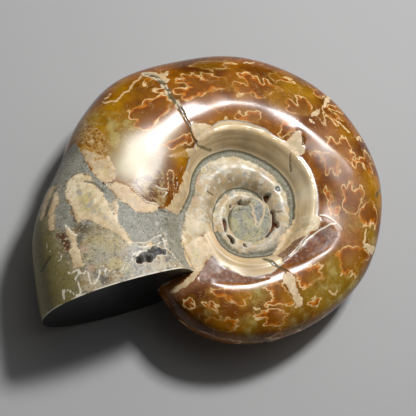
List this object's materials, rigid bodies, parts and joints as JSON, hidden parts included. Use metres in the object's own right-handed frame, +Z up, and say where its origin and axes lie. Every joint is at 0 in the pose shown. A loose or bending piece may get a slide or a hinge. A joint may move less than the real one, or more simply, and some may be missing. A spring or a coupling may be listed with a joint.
{
  "type": "polished ammonite fossil",
  "caption": "Whole coiled ammonite fossil with polished flanks and an open umbilicus, sawn flat across its aperture, lying on its side",
  "frame": {"origin": "on the surface the fossil lies on, under the middle of its bounding box", "axes": "+Z up through the thickness of the coil; the sawn aperture faces -Y and a little +X; seen from above the coil grows counter-clockwise"},
  "size_m": [0.0714, 0.063, 0.021],
  "materials": {
    "polished_shell": "polished"
  },
  "bodies": {
    "root": {"shell": "polished_shell"}
  },
  "joints": []
}
